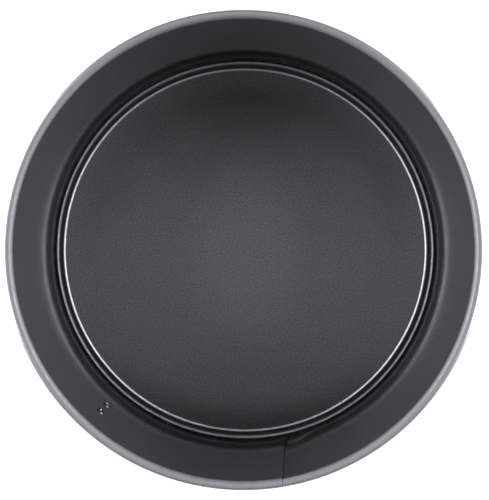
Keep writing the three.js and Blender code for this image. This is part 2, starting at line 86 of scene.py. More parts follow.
# Overlap of the band's two ends
SEAM_BOTTOM = 282.1
SEAM_TOP = 279.6
SEAM_GAP = 0.08
OUTER_END = 246.0
BEAD_END_GAP = 0.05
BEAD_RUN_OUT = 6.0
LAYER_SHIFT = 1.4
EASE_START = 284.0
EASE_END = 291.0
TIGHT_START = 268.0
TIGHT_FOOT = 3.0
TIGHT_HEIGHT = 22.0
SEAM_TIGHT = 0.45
# The next three set the painted shadow beside the seam's foot: its least and greatest width in degrees, and
# the height it reaches
SEAM_LINE = 0.06
WEDGE_WIDTH = 1.0
WEDGE_REACH = 20.0
OUTER_TOP_DROP = 2.6
TONGUE_LIFT = 0.6
RAKE_SPAN = 4.0
BAND_STEP = 0.8

# Base plate
BASE_SHEET = 0.6
BASE_RADIUS = 119.2
FLANGE_WIDTH = 4.5
RIDGE_WIDTH = 1.4
RIDGE_HEIGHT = 0.5
RIDGE_RUN = 1.1
STEP_ROUND = 0.75
FLOOR_EDGE = 111.5
BASE_STEP = 0.75
FLOOR_STEP = 2.5
LIP_SLOPE = 36.0
LIP_ROLL = 0.3
LIP_RISE = 0.55
SEAT_GAP = 0.3
CREST_RADIUS = BASE_RADIUS - FLANGE_WIDTH - RIDGE_WIDTH / 2
LEDGE_HEIGHT = -FLOOR_STEP - BASE_SHEET - SEAT_GAP - BAND_SHEET / 2
BEAD_TOP = LEDGE_HEIGHT + 2 * BEAD_RADIUS
TONGUE_FOOT = BEAD_TOP + BEAD_BLEND + TONGUE_LIFT
TURN_END = OUTER_END + 360 - BEAD_END_GAP

# Clasp
CLASP_HEIGHT = 36.0
CLASP_SHEET = 1.0
PIVOT_AZIMUTH = 256.5
PIVOT_RADIUS = 126.5
BAIL_REACH = 7.0
BAIL_LIFT = 0.3
BAIL_SEAT = (BAIL_LIFT, BAIL_REACH)
BAIL_BEND = 2.6
CATCH_AZIMUTH = 234.5
CATCH_RADIUS = 127.5
WIRE_RADIUS = 1.25
LEG_HEIGHT = 10.2
FLANGE_INNER = 7.0
SIDE_PLAY = 0.2
KEEPER_AZIMUTH = 228.4
KEEPER_RIVET_SPREAD = 6.8
BRACKET_RIVET_OFFSET = -7.0
BRACKET_RIVET_SPREAD = 5.0
RIVET_RADIUS = 1.4
RIVET_HEAD = 2.5
RIVET_DIMPLE = 1.2
RIVET_GAP = 0.15
RIVET_RIM = 0.35
RIVET_EDGE = 0.3
DOME_FOOT = 0.25
DOME_RISE = 0.75
HOLE_PLAY = 0.2
HOLE_FACETS = 48
EASED_EDGE = 0.15
CORNER_STEPS = 14
PIN_EDGE = 0.1

# Keeper and bracket
KEEPER_MARGIN = 9.0
KEEPER_HALF_HEIGHT = 11.0
PLATE_ROUND = 3.0
PLATE_STEP = 0.8
TAB_HALF_HEIGHT = 7.5
TAB_OVERREACH = 2.5
TAB_LEAN = 8.0
TAB_BEND = 1.8
TAB_ROUND = 2.0
BRACKET_TAIL = 12.0
BRACKET_NOSE = 4.0
NOSE_ROUND = 1.0
EAR_RADIUS = 2.7
EAR_SHEET = 1.2
PIN_RADIUS = 1.5

# Lever
FLANGE_OUTER = FLANGE_INNER + CLASP_SHEET
FLANGE_LENGTH = 21.0
HEEL_RADIUS = 2.8
BOSS_RADIUS = 2.7
WEB_STANDOFF = 2.5
WEB_RADIUS = PIVOT_RADIUS + WEB_STANDOFF
WEB_START = 2.4
WEB_ROUND = 0.4
LEVER_LENGTH = 57.0
FLARE_LENGTH = 13.0
FLARE_LIFT = 1.8
NECK_LENGTH = 19.0
NECK_RUN = 7.5
PAD_HALF_HEIGHT = 11.0
PAD_ROUND = 8.0
ROLL_WIDTH = 1.6
EDGE_ROLL = 0.5
RIB_RISE = 0.65
RIB_LENGTH = 14.0
RIB_EASE = 4.0
RIB_PITCH = 4.2
RIB_COUNT = 4
RIB_FROM_TIP = 10.0
RIB_HALF_ANGLE = 0.55

# Distances at which points are merged, and the angle from which an edge stays crisp
SHEET_MERGE = 0.004
CAD_MERGE = 0.002
TURNED_MERGE = 0.001
CRISP_ANGLE = 35

# Photograph: distance from the rim to the lens, pixels to a millimetre at the rim, and the lens's offset
CAMERA_ABOVE_RIM = 305.0
RIM_PIXELS_PER_MM = 1.931
CAMERA_ASIDE = 4.6
FRAME_PIXELS = 500.0
FRAME_SHIFT = -0.016
SENSOR = 36.0

# Finishes: noise scales, depths of relief in millimetres, stretch of the grain, top coat, painted shade in
# creases and recesses, and the grey of painted highlights and wear
COATING_FLECKS = 1300.0
PLATING_FLECKS = 1800.0
COATING_SCRATCHES = 50.0
PLATING_SCRATCHES = 90.0
CLOUD_SCALE = 14.0
SMEAR_SCALE = 32.0
RUB_SCALE = 420.0
GRAIN_LINES = 3200.0
FLECK_DEPTH = 0.05
GRAIN_DEPTH = 0.1
ROLLED = (1.0, 0.25, 1.0)
BRUSHED = (0.08, 0.08, 0.6)
FLOOR_SPREAD = 0.85
TOP_COAT_IOR = 2.0
TOP_COAT_ROUGHNESS = 0.2
# How far the painted shade lowers the specular level, and how much it raises the roughness
PAINTED_SHADE_SPECULAR = 0.45
PAINTED_SHADE_DULLING = 0.4
SCRATCH_DULLING = 0.06
FADE_START = 0.6
ALL_HEIGHTS = (-20.0, -19.0)
# Grey of the painted highlight on the rim, and of rubbed wear on the outer bead
HIGHLIGHT_AND_WEAR_GREY = (0.2, 0.2, 0.204)
# Grey of the painted shade
PAINTED_SHADE_GREY = (0.02, 0.02, 0.021)

# Studio, in metres and watts: each lamp's name, place, width, depth and power
FLOOR_REACH = 4.0
LAMP_COLOR = (0.95, 0.94, 1.0)
LAMP_TARGET = (0.0, 0.0, 0.03)
LAMPS = [
    ("strip_above", (0.0, -0.22, 1.3), 0.6, 0.8, 2.1),
    ("panel_left", (-1.1, 0.3, 0.9), 1.1, 1.6, 3.0),
    ("panel_right", (1.05, 0.45, 0.9), 1.1, 1.6, 4.0),
    ("low_left", (-1.2, 0.18, 0.5), 1.4, 0.8, 27.5),
    ("low_right", (1.2, 0.18, 0.5), 1.4, 0.8, 27.5),
]


def polar(radius, azimuth):
    """Plan point on a circle round the tin's axis."""
    angle = math.radians(azimuth)
    return radius * math.cos(angle), radius * math.sin(angle)


def arc(centre, radius, start, end, steps):
    """Points of an arc in a profile."""
    points = []
    for i in range(steps + 1):
        angle = math.radians(start + (end - start) * i / steps)
        points.append((centre[0] + radius * math.cos(angle), centre[1] + radius * math.sin(angle)))
    return points


def link_object(name, data):
    """A new object for a mesh, curve, lamp or camera, in the scene."""
    made = bpy.data.objects.new(name, data)
    bpy.context.collection.objects.link(made)
    return made


def discard(made):
    """Removes a helper object and its data."""
    bpy.data.batch_remove([made, made.data])


def point_guide(name, points):
    """Helper mesh of points in order, given in millimetres."""
    mesh = bpy.data.meshes.new(name)
    mesh.from_pydata([[value * MM for value in point] for point in points], [], [])
    return link_object(name, mesh)


def profile_guide(name, points):
    """Helper mesh of a profile: radius along X and height along Z."""
    return point_guide(name, [(radius, 0.0, height) for radius, height in points])


def add_line(curve, points, closed):
    """Adds a line of straight steps to a curve."""
    spline = curve.splines.new("POLY")
    spline.points.add(len(points) - 1)
    spline.use_cyclic_u = closed
    for point, (x, y, z) in zip(spline.points, points):
        point.co = (x * MM, y * MM, z * MM, 1.0)


def evaluated_mesh(made):
    """A plain mesh of what an object's modifiers or curve settings make."""
    bpy.context.view_layer.update()
    graph = bpy.context.evaluated_depsgraph_get()
    return bpy.data.meshes.new_from_object(made.evaluated_get(graph))


# Shorthand for node trees

def feed(tree, socket, value):
    """Links an output socket, or sets a plain value."""
    if isinstance(value, bpy.types.NodeSocket):
        tree.links.new(value, socket)
    else:
        socket.default_value = value


def node(tree, kind, inputs=None, **settings):
    """Adds a node, sets its properties, feeds its inputs and returns its outputs."""
    made = tree.nodes.new(kind)
    for name, value in settings.items():
        setattr(made, name, value)
    for key, value in (inputs or {}).items():
        feed(tree, made.inputs[key], value)
    return made.outputs


def maths(tree, operation, a, b=0.0):
    """A math node's result."""
    return node(tree, "ShaderNodeMath", {0: a, 1: b}, operation=operation)[0]


def times(tree, a, b):
    """The product of two values."""
    return maths(tree, "MULTIPLY", a, b)


def plus(tree, a, b):
    """The sum of two values."""
    return maths(tree, "ADD", a, b)


def minus(tree, a, b):
    """The difference of two values."""
    return maths(tree, "SUBTRACT", a, b)


def smooth_range(tree, value, low, high, to_low=0.0, to_high=1.0):
    """Smooth step of a value between two limits."""
    inputs = {"Value": value, "From Min": low, "From Max": high, "To Min": to_low, "To Max": to_high}
    return node(tree, "ShaderNodeMapRange", inputs, interpolation_type="SMOOTHSTEP")["Result"]


def mix_color(tree, share, first, second):
    """A colour between two others."""
    made = tree.nodes.new("ShaderNodeMix")
    made.data_type = "RGBA"
    factor, start, end = [socket for socket in made.inputs if socket.enabled]
    feed(tree, factor, share)
    feed(tree, start, first)
    feed(tree, end, second)
    return [socket for socket in made.outputs if socket.enabled][0]


def split_xyz(tree, vector):
    """The X, Y and Z of a vector."""
    return node(tree, "ShaderNodeSeparateXYZ", {0: vector})


def plan_radius(tree, x, y):
    """Distance from the tin's axis."""
    return maths(tree, "SQRT", plus(tree, times(tree, x, x), times(tree, y, y)))


def plan_azimuth(tree, x, y):
    """Azimuth round the tin's axis, from -180 to 180 degrees."""
    return maths(tree, "DEGREES", maths(tree, "ARCTAN2", y, x))


def geometry_tree(name, inputs):
    """A geometry tree with named inputs and one geometry output, and what it is given."""
    tree = bpy.data.node_groups.new(name, "GeometryNodeTree")
    for label, kind in inputs.items():
        tree.interface.new_socket(label, in_out="INPUT", socket_type="NodeSocket" + kind)
    tree.interface.new_socket("Geometry", in_out="OUTPUT", socket_type="NodeSocketGeometry")
    return tree, node(tree, "NodeGroupInput")


def end_tree(tree, geometry, material):
    """Last steps of every tree: plain geometry, smooth faces and a material."""
    realized = node(tree, "GeometryNodeRealizeInstances", {"Geometry": geometry})
    smooth = node(tree, "GeometryNodeSetShadeSmooth", {"Geometry": realized["Geometry"]})
    painted = node(tree, "GeometryNodeSetMaterial", {"Geometry": smooth["Geometry"], "Material": material})
    node(tree, "NodeGroupOutput", {"Geometry": painted["Geometry"]})


def bake(name, tree, values):
    """Runs a geometry tree on an empty mesh, removes its guides and returns the plain mesh object."""
    holder = link_object(name + "_holder", bpy.data.meshes.new(name + "_holder"))
    modifier = holder.modifiers.new("shape", "NODES")
    modifier.node_group = tree
    for item in tree.interface.items_tree:
        if item.in_out == "INPUT" and item.name in values:
            modifier[item.identifier] = values[item.name]
    mesh = evaluated_mesh(holder)
    mesh.name = name
    mesh.materials.clear()
    mesh.materials.append(values["Material"])
    holder.modifiers.remove(modifier)
    guides = [value for value in values.values() if isinstance(value, bpy.types.Object)]
    for helper in [holder] + guides:
        discard(helper)
    return link_object(name, mesh)


# Geometry trees

def unit_grid(tree, columns, rows):
    """A flat grid of one metre each way, whose points a tree then moves to their places."""
    inputs = {"Size X": 1.0, "Size Y": 1.0, "Vertices X": columns, "Vertices Y": rows}
    return node(tree, "GeometryNodeMeshGrid", inputs)["Mesh"]


def grid_share(tree, axis):
    """How far a grid's point lies along one of its sides, from 0 to 1."""
    place = node(tree, "GeometryNodeInputPosition")[0]
    return plus(tree, split_xyz(tree, place)[axis], 0.5)


def guide_point(tree, given, axis):
    """The guide's point for each row or column of the grid, as X, Y and Z."""
    last = minus(tree, given["Guide Points"], 1.0)
    along = times(tree, grid_share(tree, axis), last)
    row = node(tree, "FunctionNodeFloatToInt", {0: along}, rounding_mode="ROUND")
    guide = node(tree, "GeometryNodeObjectInfo", {"Object": given["Guide"]})
    place = node(tree, "GeometryNodeInputPosition")[0]
    inputs = {"Geometry": guide["Geometry"], "Value": place, "Index": row[0]}
    sample = node(tree, "GeometryNodeSampleIndex", inputs, data_type="FLOAT_VECTOR", domain="POINT")
    return split_xyz(tree, sample["Value"])


def set_round(tree, mesh, radius, azimuth, height):
    """Moves points to a radius, azimuth in degrees and height."""
    angle = maths(tree, "RADIANS", azimuth)
    x = times(tree, radius, maths(tree, "COSINE", angle))
    y = times(tree, radius, maths(tree, "SINE", angle))
    place = node(tree, "ShaderNodeCombineXYZ", {"X": x, "Y": y, "Z": height})
    return node(tree, "GeometryNodeSetPosition", {"Geometry": mesh, "Position": place[0]})["Geometry"]


def sheet_round_tree():
    """Carries a line of profile points round the tin as a sheet without thickness."""
    tree, given = geometry_tree("sheet_round", {
        "Guide": "Object", "Guide Points": "Int", "From": "Float", "To": "Float", "Steps": "Int",
        "Start Rake": "Float", "End Rake": "Float", "Rake Share": "Float", "Layer Shift": "Float",
        "Material": "Material",
    })
    radius, _, height = guide_point(tree, given, 1)
    azimuth = raked_azimuth(tree, given, grid_share(tree, 0), height)
    shift = times(tree, layer_share(tree, azimuth, height), given["Layer Shift"])
    grid = unit_grid(tree, given["Steps"], given["Guide Points"])
    placed = set_round(tree, grid, plus(tree, radius, shift), azimuth, height)
    end_tree(tree, placed, given["Material"])
    return tree


def layer_share(tree, azimuth, height):
    """How far the sheet stands out to its outer layer: fully up to the seam, and easing after it."""
    along = smooth_range(tree, azimuth, EASE_START, EASE_END, 1.0, 0.0)
    rim_foot = (WALL_TOP - OUTER_TOP_DROP) * MM
    below_rim = smooth_range(tree, height, rim_foot, (WALL_TOP + CURL_RADIUS / 2) * MM, 1.0, 0.0)
    near_seam = smooth_range(tree, azimuth, TIGHT_START, SEAM_TOP, 0.0, SEAM_TIGHT)
    closed_up = times(tree, near_seam, smooth_range(tree, height, TIGHT_FOOT * MM, TIGHT_HEIGHT * MM))
    lap = times(tree, times(tree, along, below_rim), minus(tree, 1.0, closed_up))
    run_out = smooth_range(tree, azimuth, TURN_END - BEAD_RUN_OUT, TURN_END)
    low = smooth_range(tree, height, BEAD_TOP * MM, TONGUE_FOOT * MM, 1.0, 0.0)
    return plus(tree, lap, times(tree, run_out, low))


def raked_azimuth(tree, given, share, height):
    """Azimuth along the sweep, with ends that may be cut on a rake."""
    sweep = minus(tree, given["To"], given["From"])
    azimuth = plus(tree, given["From"], times(tree, sweep, share))
    rise = node(tree, "ShaderNodeMapRange", {"Value": height, "From Max": WALL_TOP * MM}, clamp=True)
    start = smooth_range(tree, share, 0.0, given["Rake Share"], 1.0, 0.0)
    far = minus(tree, 1.0, given["Rake Share"])
    end = smooth_range(tree, share, far, 1.0)
    start_rake = times(tree, start, given["Start Rake"])
    end_rake = times(tree, end, given["End Rake"])
    rake = times(tree, plus(tree, start_rake, end_rake), rise["Result"])
    return plus(tree, azimuth, rake)


def rivet_tree():
    """Turns a profile into a fastener and sets one on each place, facing away from the tin's axis."""
    tree, given = geometry_tree("turned_rivets", {
        "Guide": "Object", "Guide Points": "Int", "Places": "Object", "Steps": "Int",
        "Material": "Material",
    })
    radius, _, height = guide_point(tree, given, 1)
    azimuth = times(tree, grid_share(tree, 0), 360.0)
    grid = unit_grid(tree, given["Steps"], given["Guide Points"])
    turned = set_round(tree, grid, radius, azimuth, height)
    closed = node(tree, "GeometryNodeMergeByDistance", {"Geometry": turned, "Distance": TURNED_MERGE * MM})
    places = node(tree, "GeometryNodeObjectInfo", {"Object": given["Places"]})
    place = node(tree, "GeometryNodeInputPosition")[0]
    outward = node(tree, "ShaderNodeVectorMath", {0: place, 1: (1.0, 1.0, 0.0)}, operation="MULTIPLY")
    facing = node(tree, "FunctionNodeAlignRotationToVector", {"Vector": outward[0]}, axis="Z")
    inputs = {"Points": places["Geometry"], "Instance": closed["Geometry"], "Rotation": facing[0]}
    copies = node(tree, "GeometryNodeInstanceOnPoints", inputs)
    end_tree(tree, copies["Instances"], given["Material"])
    return tree


def strip_tree():
    """A strip of sheet that stands along a guide: plan points, each with the strip's half height there."""
    tree, given = geometry_tree("bent_strip", {
        "Guide": "Object", "Guide Points": "Int", "Rows": "Int", "Edge Roll": "Float", "Rib Rise": "Float",
        "Material": "Material",
    })
    x, y, half = guide_point(tree, given, 0)
    across = times(tree, minus(tree, grid_share(tree, 1), 0.5), 2.0)
    rise = times(tree, across, half)
    azimuth = plan_azimuth(tree, x, y)
    edges = pressed_edges(tree, given, across, half)
    out = plus(tree, edges, grip_ribs(tree, given, azimuth, rise))
    radius = plus(tree, plan_radius(tree, x, y), out)
    height = plus(tree, rise, CLASP_HEIGHT * MM)
    grid = unit_grid(tree, given["Guide Points"], given["Rows"])
    end_tree(tree, set_round(tree, grid, radius, azimuth, height), given["Material"])
    return tree


def pressed_edges(tree, given, across, half):
    """How far a strip's upper and lower edges are turned in."""
    left = times(tree, half, minus(tree, 1.0, maths(tree, "ABSOLUTE", across)))
    roll = smooth_range(tree, left, 0.0, ROLL_WIDTH * MM, -1.0, 0.0)
    return times(tree, given["Edge Roll"], roll)


def grip_ribs(tree, given, azimuth, rise):
    """Height of the ribs pressed into the lever's pad."""
    reach = maths(tree, "ABSOLUTE", rise)
    tip = RIB_LENGTH / 2
    ends = smooth_range(tree, reach, (tip - RIB_EASE) * MM, tip * MM, 1.0, 0.0)
    ribs = 0.0
    for i in range(RIB_COUNT):
        middle = along_web(LEVER_LENGTH - RIB_FROM_TIP - i * RIB_PITCH) - 360
        off = maths(tree, "ABSOLUTE", minus(tree, azimuth, middle))
        ribs = plus(tree, smooth_range(tree, off, 0.0, RIB_HALF_ANGLE, 1.0, 0.0), ribs)
    return times(tree, given["Rib Rise"], times(tree, ribs, ends))


def wire_tree():
    """Draws a round wire along a guide curve."""
    tree, given = geometry_tree("bent_wire", {
        "Route": "Object", "Wire Radius": "Float", "Points": "Int", "Round Points": "Int",
        "Material": "Material",
    })
    route = node(tree, "GeometryNodeObjectInfo", {"Object": given["Route"]})
    inputs = {"Curve": route["Geometry"], "Count": given["Points"]}
    spaced = node(tree, "GeometryNodeResampleCurve", inputs)
    inputs = {"Radius": given["Wire Radius"], "Resolution": given["Round Points"]}
    ring = node(tree, "GeometryNodeCurvePrimitiveCircle", inputs)
    inputs = {"Curve": spaced["Curve"], "Profile Curve": ring["Curve"], "Fill Caps": True}
    drawn = node(tree, "GeometryNodeCurveToMesh", inputs)
    end_tree(tree, drawn["Mesh"], given["Material"])
    return tree


# Shader groups shared by the finishes

def shader_group(name, inputs, outputs):
    """A shader group with named sockets, what it is given, and the place on the piece that it works at."""
    group = bpy.data.node_groups.new(name, "ShaderNodeTree")
    for side, sockets in (("INPUT", inputs), ("OUTPUT", outputs)):
        for label, kind in sockets.items():
            group.interface.new_socket(label, in_out=side, socket_type="NodeSocket" + kind)
    return group, node(group, "NodeGroupInput"), node(group, "ShaderNodeTexCoord")["Object"]


def noise(tree, where, scale, detail, roughness=0.5):
    """Noise from 0 to 1."""
    inputs = {"Vector": where, "Scale": scale, "Detail": detail, "Roughness": roughness}
    return node(tree, "ShaderNodeTexNoise", inputs)["Fac"]


def speckle_group():
    """Fine flecks in a baked-on finish: a colour between two tones, and a height for bump."""
    group, given, where = shader_group(
        "fine_speckle",
        {"Dark": "Color", "Light": "Color", "Fleck Scale": "Float"},
        {"Color": "Color", "Height": "Float"},
    )
    fleck = noise(group, where, given["Fleck Scale"], 3.0, 0.7)
    cloud = noise(group, where, CLOUD_SCALE, 2.0)
    share = plus(group, fleck, times(group, cloud, 0.25))
    color = mix_color(group, smooth_range(group, share, 0.4, 0.85), given["Dark"], given["Light"])
    node(group, "NodeGroupOutput", {"Color": color, "Height": fleck})
    return group


def handling_group():
    """Wear from use: a roughness that varies in soft smears and hairline scratches."""
    group, given, where = shader_group(
        "handling_marks",
        {"Smooth": "Float", "Dull": "Float", "Scratch Scale": "Float"},
        {"Roughness": "Float"},
    )
    smear = smooth_range(group, noise(group, where, SMEAR_SCALE, 5.0), 0.35, 0.7)
    inputs = {"Vector": where, "Rotation": (0.3, 0.2, 0.8), "Scale": (1.0, 24.0, 1.0)}
    turned = node(group, "ShaderNodeMapping", inputs)[0]
    scratch = smooth_range(group, noise(group, turned, given["Scratch Scale"], 2.0), 0.68, 0.74)
    span = minus(group, given["Dull"], given["Smooth"])
    smeared = plus(group, given["Smooth"], times(group, smear, span))
    rough = plus(group, smeared, times(group, scratch, SCRATCH_DULLING))
    node(group, "NodeGroupOutput", {"Roughness": rough})
    return group


def ring_mask_group():
    """A ring round the tin's axis, above a height and broken by noise: the mask for painted highlights,
    painted shade and wear.
    """
    group, given, where = shader_group(
        "rubbed_ring",
        {"Radius": "Float", "Half Width": "Float", "From Height": "Float", "To Height": "Float"},
        {"Mask": "Float"},
    )
    x, y, height = split_xyz(group, where)
    aside = maths(group, "ABSOLUTE", minus(group, plan_radius(group, x, y), given["Radius"]))
    edge = times(group, given["Half Width"], FADE_START)
    ring = smooth_range(group, aside, edge, given["Half Width"], 1.0, 0.0)
    above = smooth_range(group, height, given["From Height"], given["To Height"])
    broken = smooth_range(group, noise(group, where, RUB_SCALE, 4.0), 0.25, 0.6, 0.75, 1.0)
    mask = times(group, times(group, ring, above), broken)
    node(group, "NodeGroupOutput", {"Mask": mask})
    return group


def seam_shadow_group():
    """Painted shadow at the foot of the band's seam: a dark wedge beside it that closes with height."""
    group, given, where = shader_group(
        "seam_soot", {"Width": "Float", "Reach": "Float"}, {"Mask": "Float"})
    x, y, height = split_xyz(group, where)
    rake = times(group, height, (SEAM_TOP - SEAM_BOTTOM) / (WALL_TOP * MM))
    off = minus(group, plan_azimuth(group, x, y), plus(group, rake, SEAM_BOTTOM - 360))
    closing = minus(group, 1.0, maths(group, "DIVIDE", height, given["Reach"]))
    width = maths(group, "MAXIMUM", times(group, closing, given["Width"]), SEAM_LINE)
    right = smooth_range(group, maths(group, "DIVIDE", off, width), FADE_START, 1.0, 1.0, 0.0)
    left = smooth_range(group, off, -SEAM_GAP, 0.0)
    node(group, "NodeGroupOutput", {"Mask": times(group, left, right)})
    return group


def grain_group():
    """Rolling grain of sheet steel: fine straight lines, as a height for bump."""
    group, given, where = shader_group(
        "rolling_grain", {"Stretch": "Vector", "Line Scale": "Float"}, {"Height": "Float"})
    stretched = node(group, "ShaderNodeMapping", {"Vector": where, "Scale": given["Stretch"]})[0]
    node(group, "NodeGroupOutput", {"Height": noise(group, stretched, given["Line Scale"], 1.0)})
    return group


# Finishes

def add_group(tree, group, inputs):
    """Places a shader group with its own values."""
    return node(tree, "ShaderNodeGroup", inputs, node_tree=group)


def add_speckle(tree, dark, light, scale):
    """Places the speckle group with its own tones."""
    return add_group(tree, SPECKLE, {"Dark": (*dark, 1.0), "Light": (*light, 1.0), "Fleck Scale": scale})


def add_marks(tree, roughness, scale):
    """Places the handling marks with their own range of roughness."""
    smooth, dull = roughness
    return add_group(tree, MARKS, {"Smooth": smooth, "Dull": dull, "Scratch Scale": scale})["Roughness"]


def add_ring_masks(tree, rings):
    """Places the ring mask once for each radius, half width and range of heights, and joins the masks."""
    mask = 0.0
    for ring in rings:
        radius, half_width, low, high = [value * MM for value in ring]
        inputs = {"Radius": radius, "Half Width": half_width, "From Height": low, "To Height": high}
        mask = maths(tree, "MAXIMUM", add_group(tree, RING_MASK, inputs)["Mask"], mask)
    return mask


def add_relief(tree, height, fleck, grain, stretch):
    """Bumps the shader's normal with the finish's flecks, over the sheet's grain where it has some."""
    flecks = {"Height": height, "Strength": fleck, "Distance": FLECK_DEPTH * MM}
    if grain:
        lines = add_group(tree, GRAIN, {"Stretch": stretch, "Line Scale": GRAIN_LINES})["Height"]
        inputs = {"Height": lines, "Strength": grain, "Distance": GRAIN_DEPTH * MM}
        flecks["Normal"] = node(tree, "ShaderNodeBump", inputs)["Normal"]
    bumped = node(tree, "ShaderNodeBump", flecks)["Normal"]
    feed(tree, tree.nodes["Principled BSDF"].inputs["Normal"], bumped)


def set_rolled(tree, share):
    """Spreads the shader's gloss across the sheet's rolling direction, which runs along Y."""
    across = {0: (1.0, 0.0, 0.0)}
    turned = node(tree, "ShaderNodeVectorTransform", across, convert_from="OBJECT", convert_to="WORLD")
    shader = tree.nodes["Principled BSDF"].inputs
    feed(tree, shader["Tangent"], turned[0])
    shader["Anisotropic"].default_value = share


def start_material(name):
    """A new material, its tree and its shader's inputs."""
    material = bpy.data.materials.new(name)
    material.use_nodes = True
    tree = material.node_tree
    return material, tree, tree.nodes["Principled BSDF"].inputs


def coating(
    name, dark, light, highlight_and_wear_grey, shade_grey, roughness, rings, shade_rings, seam, highlight_and_wear_metal, dulling, top_coat, ior,
    gleam, fleck, grain,
):
    """Baked-on dark coating with painted highlights and wear over rings, painted shade in its grooves, and
    a top coat if asked.
    """
    material, tree, shader = start_material(name)
    shader["IOR"].default_value = ior
    speckle = add_speckle(tree, dark, light, COATING_FLECKS)
    # painted highlights where the finish turns lighter and metallic on edges that catch the light, and
    # rubbed wear on the outer bead
    mask = add_ring_masks(tree, rings)
    # painted shade: darker, less shiny and duller in creases, recesses and the seam's gap, where shade
    # falls
    painted_shade = add_ring_masks(tree, shade_rings)
    if seam:
        # painted shadow: the dark wedge in the gap at the seam's foot
        wedge = add_group(tree, SEAM_SHADOW, {"Width": WEDGE_WIDTH, "Reach": WEDGE_REACH * MM})
        painted_shade = maths(tree, "MAXIMUM", painted_shade, wedge["Mask"])
    unshaded = mix_color(tree, mask, speckle["Color"], (*highlight_and_wear_grey, 1.0))
    feed(tree, shader["Base Color"], mix_color(tree, painted_shade, unshaded, (*shade_grey, 1.0)))
    flakes = times(tree, minus(tree, speckle["Height"], 0.5), gleam)
    shine = minus(tree, 0.5, times(tree, painted_shade, PAINTED_SHADE_SPECULAR))
    feed(tree, shader["Specular IOR Level"], plus(tree, flakes, shine))
    feed(tree, shader["Metallic"], times(tree, mask, highlight_and_wear_metal))
    matt = plus(tree, times(tree, mask, dulling), times(tree, painted_shade, PAINTED_SHADE_DULLING))
    marks = add_marks(tree, roughness, COATING_SCRATCHES)
    feed(tree, shader["Roughness"], plus(tree, marks, matt))
    if top_coat:
        uncoated = maths(tree, "MAXIMUM", painted_shade, mask)
        feed(tree, shader["Coat Weight"], minus(tree, 1.0, uncoated))
        shader["Coat IOR"].default_value = TOP_COAT_IOR
        shader["Coat Roughness"].default_value = TOP_COAT_ROUGHNESS
    add_relief(tree, speckle["Height"], fleck, grain, ROLLED)
    return material


def plating(name, dark, light, roughness, fleck, grain):
    """Bright or dark metal plating with fine tooling marks."""
    material, tree, shader = start_material(name)
    shader["Metallic"].default_value = 1.0
    speckle = add_speckle(tree, dark, light, PLATING_FLECKS)
    feed(tree, shader["Base Color"], speckle["Color"])
    feed(tree, shader["Roughness"], add_marks(tree, roughness, PLATING_SCRATCHES))
    add_relief(tree, speckle["Height"], fleck, grain, BRUSHED)
    return material


# Sheet work

def foot_line():
    """Middle of the band's sheet from the ledge round the bead, as radius and height."""
    centre = (WALL_RADIUS + BEAD_SET_OUT, LEDGE_HEIGHT + BEAD_RADIUS)
    return [(TIN_RADIUS - LEDGE_WIDTH, LEDGE_HEIGHT)] + arc(centre, BEAD_RADIUS, -90, BEAD_END, 12)


def wall_line():
    """Middle of the wall, closer points near its ends."""
    foot = BEAD_TOP + BEAD_BLEND
    heights = [foot, TONGUE_FOOT, 5.0, 8.0, 12.0, 20.0, 35.0, 50.0, 60.0, WALL_TOP - OUTER_TOP_DROP]
    return [(WALL_RADIUS, height) for height in heights]


def rim_line():
    """Middle of the rolled rim."""
    centre = (WALL_RADIUS + CURL_RADIUS, WALL_TOP)
    return [(WALL_RADIUS, WALL_TOP - CURL_LEAD)] + arc(centre, CURL_RADIUS, 180, CURL_END, 28)


def sweep(name, points, start, end, step, rakes, shift, material):
    """A profile carried round the tin from one azimuth to another, with ends that may be cut on a rake."""
    start_rake, end_rake = rakes
    return bake(name, SHEET_ROUND, {
        "Guide": profile_guide(name + "_guide", points),
        "Guide Points": len(points),
        "From": start, "To": end, "Steps": int((end - start) / step) + 1,
        "Start Rake": start_rake, "End Rake": end_rake,
        "Rake Share": RAKE_SPAN / (end - start),
        "Layer Shift": shift * MM,
        "Material": material,
    })


def join(name, made, merge):
    """Joins mesh objects into a new one, as they are or with their shared edges merged."""
    whole = bmesh.new()
    for piece in made:
        whole.from_mesh(piece.data)
    if merge:
        bmesh.ops.remove_doubles(whole, verts=whole.verts, dist=SHEET_MERGE * MM)
        bmesh.ops.recalc_face_normals(whole, faces=whole.faces)
    mesh = bpy.data.meshes.new(name)
    whole.to_mesh(mesh)
    whole.free()
    mesh.materials.append(made[0].data.materials[0])
    for piece in made:
        discard(piece)
    return link_object(name, mesh)


def smooth_faces(mesh):
    """Smooth faces with crisp edges."""
    mesh.shade_smooth()
    mesh.set_sharp_from_angle(angle=math.radians(CRISP_ANGLE))


def combine(name, made):
    """Joins finished pieces into one object as they are."""
    whole = join(name, made, merge=False)
    smooth_faces(whole.data)
    return whole


def add_bevel(made, width, segments, angle):
    """Eases an object's edges that are sharper than an angle."""
    rounding = made.modifiers.new("ease", "BEVEL")
    rounding.width = width * MM
    rounding.segments = segments
    rounding.limit_method = "ANGLE"
    rounding.angle_limit = math.radians(angle)


def thicken(made, sheet, ease=0.0, back=None):
    """Gives a sheet its thickness, half to each side, and smooth faces with crisp or eased cut edges."""
    solidify = made.modifiers.new("sheet", "SOLIDIFY")
    if back:
        made.data.materials.append(back)
        solidify.material_offset = 1
    solidify.thickness = sheet * MM
    solidify.offset = 0.0
    solidify.use_even_offset = True
    if ease:
        add_bevel(made, ease, 2, 60)
    apply_modifiers(made)


def apply_modifiers(made):
    """Replaces an object's mesh by what its modifiers make of it."""
    mesh = evaluated_mesh(made)
    made.modifiers.clear()
    old = made.data
    mesh.name = old.name
    made.data = mesh
    bpy.data.meshes.remove(old)
    smooth_faces(mesh)


